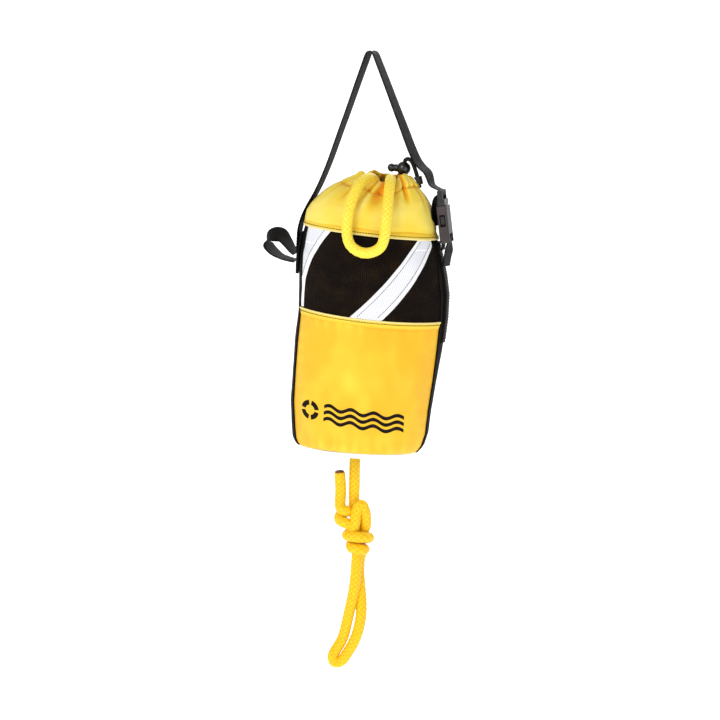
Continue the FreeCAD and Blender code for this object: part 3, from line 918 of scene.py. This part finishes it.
def hems():
    """The pocket's top edge on each face, finished like the collar's."""
    made = []
    for side, turns in (("front", front_turns), ("back", back_turns)):
        turn = np.linspace(*turns(POCKET_HEM), 200)
        edge = pocket_height(skin(turn, POCKET_HEM)[:, 0] - BAG_X)
        made.append(band("pocket_hem_" + side + "_binding", edge + 0.6, edge - 5.5, turn, 1.0,
                         "pocket_hem_" + side))
        made.append(tube("pocket_hem_piping_" + side, edge_line(turn, edge + 0.9, 0.8), 0.9, PAINT["pale"]))
        path = edge_line(turn, edge - 1.1, 1.35)
        made.append(stitches("pocket_hem_stitches_" + side, path, outward(turn, edge), PAINT["dark_thread"],
                             2.6, 2.2, 0.32))
    return made


def seams():
    """A corded ridge down each gusset seam, and a row of stitches beside it on the cloth."""
    made = []
    z = np.linspace(BOTTOM + 1.0, COLLAR_HEM - 1, 150)
    for name, turn_at, step in (("front_right", lambda h: -near_seam_turn(h), -0.05),
                                ("front_left", lambda h: seam_turn(h) - math.pi, 0.055),
                                ("back_right", seam_turn, 0.055),
                                ("back_left", lambda h: math.pi - seam_turn(h), -0.055)):
        made.append(tube("seam_" + name, edge_line(turn_at(z), z, 0.35), 0.95, PAINT["black"]))
        low = z[z < POCKET_HEM - 7]
        beside = turn_at(low) + step
        path = edge_line(beside, low, (LOWER(skin(beside, low))[0] + 0.15)[:, None])
        made.append(stitches("seam_stitches_" + name, path, outward(beside, low), PAINT["gold_thread"],
                             3.4, 2.4, 0.26))
    return made


# ---- reflective tapes and the printed symbols ----------------------------------------------------
def tape_edges(kind, side, z):
    """The low and high edge, from the bag's axis, of a slanted tape's cut and whole width."""
    fall = COLLAR_HEM - 4.0 - z
    centre, wide, _ = form(z)
    low_limit = centre - wide * np.cos(seam_turn(z)) + 0.5
    turn = near_seam_turn(z) if side < 0 else seam_turn(z)
    high_limit = centre + wide * np.cos(turn) - 1.0
    if kind == "right":
        left = 47.7 - 0.46 * fall - 0.0040 * fall ** 2
        right = 59.6 - 0.09 * fall - 0.0057 * fall ** 2
    else:
        near = np.minimum(fall, 50.0)
        right = np.maximum(-34.0 - 0.75 * near + 0.0068 * near ** 2, low_limit + 2.2)
        left = right - TAPE_WIDE * np.sqrt(1 + (0.75 - 0.0136 * near) ** 2)
    return np.maximum(left, low_limit), np.minimum(right, high_limit), left, right


def slanted_tape(kind, side_name, side):
    """A tape across the mesh, from the pocket's hem up to the collar's, with a row of stitches at each edge."""
    rows, columns = [], 15
    middle = 5.0 if kind == "right" else -52.0
    top = hem_height(52.0 if kind == "right" else -45.0) - 0.4
    low_z = pocket_height(middle) + 1.5 if kind == "right" else -236.0
    for share in np.linspace(0, 1, 60):
        z = low_z + (top - low_z) * share
        first, last, left, right = tape_edges(kind, side, z)
        x = np.linspace(first, last, columns)
        z = z + (pocket_height(x) - pocket_height(middle)) * (1 - share) * (kind == "right")
        z = z + (hem_height(x) - top - 0.4) * share
        lift = 0.75 - 0.45 * (np.abs(np.linspace(-1, 1, columns)) ** 10)
        surface, _ = on_face(x, z, lift + 0.12 * np.sin(z / 3.1), UPPER, side)
        across = TAPE_WIDE * (x - left) / (right - left)
        rows.append((surface, np.stack([across, z], axis=1)))
    piece = cloth_grid("tape_" + side_name + "_" + kind + "_strip", rows, PAINT["tape"])
    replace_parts(thicken(piece, 0.45), "tape_" + side_name + "_" + kind)
    made = [piece]
    for edge, inset in (("low", 4.2), ("high", 18.8)):
        z = np.linspace(low_z + 2, top - 1.5, 60)
        first, last, left, right = tape_edges(kind, side, z)
        x = left + inset / TAPE_WIDE * (right - left)
        keep = (x > first + 0.8) & (x < last - 0.8)
        if keep.sum() < 8:
            continue
        path, way = on_face(x[keep], z[keep], 0.85, UPPER, side)
        made.append(stitches("tape_stitches_" + side_name + "_" + kind + "_" + edge, path, way,
                             PAINT["grey_thread"], 2.2, 1.9, 0.3))
    return made


def printed(name, x, z, rows, columns):
    """A flat symbol of the print, laid on the lower panel from a grid of points."""
    surface, _ = on_face(x, z, 0.14, LOWER)
    piece = make_piece(name, surface.reshape(-1, 3), grid_faces(rows, columns), PAINT["print"],
                       np.stack([x.ravel(), z.ravel()], axis=1))
    return piece


def symbol_band():
    """A lifebuoy and three waves: a plain symbol of rescue in place of the word."""
    made = []
    tilt = math.tan(math.radians(-4.8))
    middle_z = -332.8
    ring_x = -41.0
    start, end = -27.0, 46.0
    for index in range(4):
        turn = np.linspace(index * TAU / 4 + 0.16, (index + 1) * TAU / 4 - 0.16, 16)
        radius = np.linspace(4.6, 9.0, 5)
        x = ring_x + radius[:, None] * np.cos(turn)[None]
        z = middle_z + tilt * x + radius[:, None] * np.sin(turn)[None]
        made.append(printed("print_ring_" + str(index + 1), x, z, 5, 16))
    for index, rise in enumerate((6.0, 0.0, -6.0)):
        along = np.linspace(start, end, 120)
        wave = 1.9 * np.sin((along - start) / (end - start) * 3.5 * TAU)
        thick = np.linspace(-1.65, 1.65, 4)
        x = np.broadcast_to(along, (4, 120))
        z = middle_z + tilt * x + rise + wave[None] + thick[:, None]
        made.append(printed("print_wave_" + str(index + 1), np.array(x), z, 4, 120))
    return made


# ---- webbing -------------------------------------------------------------------------------------
def webbing(name, path, across):
    """A woven strap along a path: slightly rounded edges, and a faint uneven lie.

    across(share) gives the direction of its width at a share of the path, before it is squared up.
    """
    tangent, _, _ = frames_along(path, (0, 1, 0))
    side = np.array([across(share) for share in np.linspace(0, 1, len(path))], float)
    side -= tangent * np.sum(side * tangent, axis=1)[:, None]
    side /= np.linalg.norm(side, axis=1)[:, None]
    up = np.cross(tangent, side)
    steps = distances(path)
    angle = np.linspace(0, TAU, 33)
    wide = WEB / 2 * np.sign(np.cos(angle)) * np.abs(np.cos(angle)) ** 0.28
    high = WEB_THICK / 2 * np.sign(np.sin(angle)) * np.abs(np.sin(angle)) ** 0.5
    high *= 1.0 - 0.12 * np.cos(4 * math.pi * wide / WEB)
    sway = 0.25 * np.sin(steps / 19.0) + 0.15 * np.sin(steps / 7.3 + 1.0)
    points = (path[:, None] + side[:, None] * (wide[None, :, None] + sway[:, None, None])
              + up[:, None] * high[None, :, None])
    uvs = np.stack(np.broadcast_arrays(wide[None], steps[:, None]), axis=-1)
    points, uvs = points.reshape(-1, 3), uvs.reshape(-1, 2)
    faces = grid_faces(len(path), 33)
    for first, flip in ((0, False), ((len(path) - 1) * 33, True)):
        ring = [first + i for i in range(32)]
        faces.append(tuple(reversed(ring)) if flip else tuple(ring))
    piece = make_piece(name, points, faces, PAINT["web"], uvs)
    return piece


def box_stitch(name, ends, across, out):
    """A sewn rectangle with a cross in it, on one face of a strap end."""
    (a, b), across, out = (np.asarray(given, float) for given in (ends, across, out))
    half = WEB / 2 - 2.5
    corners = [a - across * half, a + across * half, b + across * half, b - across * half,
               a - across * half, b + across * half, b - across * half, a + across * half]
    line = resample(np.array(corners) + out * 0.85, 0.8)
    return stitches(name, line, np.tile(out, (len(line), 1)), PAINT["black_thread"], 2.6, 1.9, 0.3)


def turned(places, angles, about="z"):
    """The strap's width direction along its path: the y axis, turned about z or leaning about x."""
    def across(share):
        angle = math.radians(np.interp(share, places, angles))
        if about == "z":
            return math.sin(angle), math.cos(angle), 0.0
        return 0.0, math.cos(angle), math.sin(angle)
    return across


def straps():
    """The hang strap, the socket's strap and the side loop; each rides on its own body."""
    end_x = BAG_X - 67.6
    hang = [(end_x, 0, -187.5), (end_x, 0, -177), (end_x, 0, -166), (-53.7, 0, -149.5), (-38.6, 0, -121),
            (-22, 0, -64.7), (-4.7, 0, -6), (-2.5, 0, 0.9), (2.6, 0, 0.9), (5.9, 0, -6), (26, 0, -50.4),
            (45, 0, -92.5), (52, 0, -101.5), (58.5, 0, -106), (61, 0, -112), (63, 0, -118.2), (68.5, 0, -120.6),
            (75.9, 0, -123.2), (72.5, 0, -127.4), (69.0, 0, -126.4), (66.9, 0, -131), (66.8, 0, -141),
            (68.3, 0, -149), (69.2, 0, -155)]
    lie = turned((0, 0.08, 0.3, 0.47, 0.53, 0.66, 0.78, 0.83, 0.88, 0.91, 0.935, 1.0),
                 (0, 4, 6, 8, 9, 12, 16, 18, 6, 0, 6, 16))
    strap = webbing("hang_strap_webbing", spline_points(hang, 1.5), lie)
    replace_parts(strap, "hang_strap")
    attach(strap, "strap")
    sewn = box_stitch("hang_strap_stitches", [(end_x, 0, -184), (end_x, 0, -169)], (0, 1, 0), (-1, 0, 0))
    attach(sewn, "strap")
    hung = [(77.07, 0, -176.5), (77.07, 0, -171), (77.07, 0, -164.3), (82.47, 0, -164.3), (82.47, 0, -171),
            (82.4, 0, -178), (81.2, 0, -184), (80.9, 0, -191.5)]
    lie = turned((0, 0.45, 0.65, 1), (0, 2, 14, 10))
    lower = webbing("socket_strap_webbing", spline_points(hung, 0.8), lie)
    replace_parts(lower, "socket_strap")
    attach(lower, "strap")
    mm((80, 0, -188))
    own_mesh(lower)
    loop = [(-60.5, 0, -190), (-64, 0, -187), (-69.5, 0, -179.5), (-74, 0, -174.5), (-80, 0, -173.0),
            (-86.5, 0, -175.5), (-89.0, 0, -181.5), (-84.5, 0, -187.5), (-78.5, 0, -191.8), (-71, 0, -195.2),
            (-60.5, 0, -196.7)]
    lean = turned((0, 0.15, 0.3, 0.5, 0.62, 0.8, 1.0), (8, 26, 38, 38, 24, 8, 4), "x")
    side = webbing("side_loop_webbing", spline_points(loop, 0.9), lean)
    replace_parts(side, "side_loop")
    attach(side, "side_loop")


def side_webbing(name, sign, z_low, z_high):
    """Webbing sewn flat down the middle of a gusset."""
    rows = []
    y = np.linspace(-WEB / 2, WEB / 2, 17)
    for z in np.linspace(z_low, z_high, 70):
        turn = np.arcsin(np.clip(y / form(z)[2], -1, 1))
        if sign < 0:
            turn = math.pi - turn
        rise = 1.7 * (1 - np.abs(y / (WEB / 2)) ** 12) + 0.25
        rows.append((edge_line(turn, z, rise[:, None]), np.stack([y, np.full(17, z)], axis=1)))
    piece = cloth_grid("side_webbing_" + name + "_strap", rows, PAINT["web"])
    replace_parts(thicken(piece, 1.4), "side_webbing_" + name)
    made = [piece]
    for row, y in (("front", -7.4), ("rear", 7.4)):
        z = np.linspace(z_low + 2, z_high - 2, 60)
        turn = np.arcsin(y / form(z)[2])
        if sign < 0:
            turn = math.pi - turn
        path = edge_line(turn, z, 1.95)
        made.append(stitches("side_webbing_stitches_" + name + "_" + row, path, outward(turn, z),
                             PAINT["black_thread"], 2.8, 2.0, 0.28))
    return made


# ---- ropes ------------------------------------------------------------------------------------------
# The control points of each cord's run, from where it leaves the bag.
HAND_ROUTE = [
    (6.5, 0, -368), (6.5, 0, -384), (7.3, 0.5, -400), (7.6, 1.5, -416), (8.2, 3, -428), (11, 5, -441),
    (17.5, 4, -446), (20.8, 0, -440), (20.2, -4.0, -426), (15.6, -6.5, -417), (11.4, -7, -426),
    (11.6, -7.5, -438), (8, -2, -447), (3.8, 3.5, -449.4), (3.6, -5, -450), (13.5, -10.2, -449.6),
    (23.8, -6, -449.6), (24.2, 3.5, -451.5), (15, 9.0, -454), (7.2, 4.8, -458), (8.0, -4.5, -461),
    (14.8, -8.4, -461.4), (21.2, -3.5, -462), (19.5, 4, -462.4), (16, 5.2, -469), (15.4, 5.2, -481),
    (17.2, 3.5, -494), (20, 2, -509), (21.2, 0.8, -523), (20, 0, -537), (16.2, 0, -551), (10.0, 0, -562.5),
    (5.6, 0, -570.4), (-1.6, 0, -573), (-4.2, 0, -566.5), (0.2, 0, -558), (5.2, 0, -548.5), (7.8, -0.5, -535),
    (10.2, -1.5, -521), (12.7, -3, -507), (14.2, -4.5, -493), (14.6, -5.2, -481), (14.6, -4.6, -469),
    (14.2, -1, -460), (12.6, 0.5, -450), (9, -2, -442.5), (4, -7.5, -437.8), (-3.0, -7.4, -436.4),
    (-5.2, -1.5, -432), (0.5, 2.0, -428.4), (5.2, -3, -426.4), (1, -8.4, -426.4), (-4.0, -7.0, -423.8),
    (-4.4, -4.0, -414), (-4.8, -3.2, -404), (-6.6, -4, -391),
]
GRAB_ROUTE = [
    (26, -6, -146), (26, -6, -130), (26, -6.5, -118.0), (27.0, -18, -112.5), (29.0, -35, -118), (31, -53, -138),
    (31.5, -60, -162), (28.5, -61, -175.0), (14, -61.5, -181.0), (0, -61, -175.0), (-4.5, -60, -162),
    (-4, -54, -140), (0.5, -38, -119), (8, -19, -112.5), (11.5, -6.5, -118.0), (11.5, -6, -130),
    (11.5, -6, -146),
]
STRING_ROUTE = [
    (51.6, 3, -121.5), (50.4, 3, -118.5), (48.2, 3, -110.3), (44.9, 3, -102.0), (41.9, 3, -96.5),
    (37.96, 3, -95.2), (35.3, 3, -98.0), (35.3, 3, -113.5),
]


def ropes():
    """The three cords, baked in place; the hand rope's sealed end rides on the hand loop."""
    path = spline_points(HAND_ROUTE, 1.1)
    hand = braid("hand_rope", path, ROPE, PAINT["rope_low"], end=0.9, body=1.0, relief=0.11)
    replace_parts(hand, "rope_drop", "rope_knot", "rope_tail", "rope_loop", "rope_stub")
    end = melted_end(path)
    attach(end, "hand_loop")
    mm(path[0])
    round(path_length(path) / 1000, 3)
    mm((GROMMET_X, 0, -375))
    mm((GROMMET_X, 0, -387))
    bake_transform(hand)
    path = spline_points(GRAB_ROUTE, 1.1)
    grab = braid("grab_loop_rope", path, ROPE, PAINT["rope"])
    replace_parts(grab, "grab_loop", "mouth_rope")
    mm(path[0])
    round(path_length(path) / 1000, 3)
    mm((18, -10.0, -106))
    mm((18, -22, -106))
    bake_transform(grab)
    path = spline_points(STRING_ROUTE, 0.5)
    string = braid("drawstring_cord", path, STRING, PAINT["string"], carriers=4, lay=2.2, around=24, body=1.0)
    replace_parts(string, "drawstring")
    mm(path[0])
    round(path_length(path) / 1000, 3)
    mm((35.3, 3, -113.5))
    mm((35.3, 3, -104.5))
    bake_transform(string)


def melted_end(path):
    """The heat-sealed end of the tail: a brown, lumpy cap."""
    tip = path[-1]
    way = path[-1] - path[-6]
    way /= np.linalg.norm(way)
    # Each ring's place past the rope's end, and its radius.
    stations = [(-1.6, 4.35), (-0.6, 4.6), (0.5, 4.6), (1.3, 4.25), (1.8, 3.2), (1.9, 1.4)]
    cap = tube("hand_rope_sealed_end", [tip + way * s for s, _ in stations],
               np.array([r for _, r in stations]), PAINT["burnt"], 28)
    places = np.array([v.co for v in cap.data.vertices]) * 1000
    moved = places + 0.35 * lumps(places, 2.2, 21)[:, None] * (places - tip) / 4.5
    cap.data.vertices.foreach_set("co", (moved * 0.001).ravel())
    return cap


def packed_turns():
    """The top turns of the rope inside the bag, which show through the mouth."""
    route = []
    for index in range(96):
        turn = index / 14 * TAU
        size = 1.0 - 0.13 * (index // 14) + 0.05 * math.sin(index * 1.7)
        route.append((BAG_X + 3 + 37 * size * math.cos(turn) + 2 * math.sin(3.1 * turn),
                      27 * size * math.sin(turn) + 2 * math.cos(2.3 * turn),
                      -152 + 3.2 * math.sin(turn * 1.37) + 1.6 * (index // 14)))
    path = spline_points(route, 1.6)
    rope = braid("packed_rope_turns", path, ROPE, PAINT["rope"], around=28)
    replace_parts(rope, "packed_rope")
    return rope


# ---- carried-over nodes -----------------------------------------------------------------------------
def paint_nodes():
    """Materials for the CAD nodes that stay in view or stay inside as they are."""
    finish = {
        "buckle_socket": "socket", "buckle_plug": "plug", "plug_prong_front": "plug", "plug_prong_rear": "plug",
        "cord_lock_body": "lock", "cord_lock_plunger": "lock", "cord_lock_spring": "steel",
        "drawstring_eyelet": "eyelet", "grommet_outer": "brass", "grommet_inner": "brass",
        "float_disc": "foam", "stopper_knot": "rope",
    }
    for node, paint in finish.items():
        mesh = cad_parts[node].data
        if not mesh.materials:
            mesh.materials.append(PAINT[paint])
        for index in range(len(mesh.materials)):
            mesh.materials[index] = PAINT[paint]


def stage():
    area_light("key", (-0.9, -1.9, 0.9), (0, 0, -0.28), 1.2, 25)
    area_light("fill", (1.6, -1.5, 0.1), (0, 0, -0.28), 1.4, 8)
    area_light("rim", (0.3, 1.6, 1.0), (0, 0, -0.25), 1.2, 12)
    world = bpy.data.worlds.new("studio")
    world.use_nodes = True
    world.node_tree.nodes["Background"].inputs["Color"].default_value = (1, 1, 1, 1)
    world.node_tree.nodes["Background"].inputs["Strength"].default_value = 0.5
    bpy.context.scene.world = world
    bpy.context.scene.view_settings.view_transform = "Standard"
    rows = [(-4.0, -0.70), (1.6, -0.70), (2.3, -0.60), (2.8, -0.25), (3.0, 0.4), (3.0, 3.0)]
    points, faces = [], []
    for y, z in rows:
        points += [(-5000, y * 1000, z * 1000), (5000, y * 1000, z * 1000)]
    floor = make_piece("floor", points, grid_faces(len(rows), 2), floor_pale())


place_camera()
stage()
ropes()
bag_pieces = panels() + [base_cloth()] + collar_cloth() + hems() + seams() + symbol_band()
bag_pieces += side_webbing("left", -1, -207.5, COLLAR_HEM - 6.5)
bag_pieces += side_webbing("right", 1, -262.0, COLLAR_HEM - 6.5)
bag_pieces.append(packed_turns())
for piece in bag_pieces:
    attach(piece, "bag")
straps()
paint_nodes()
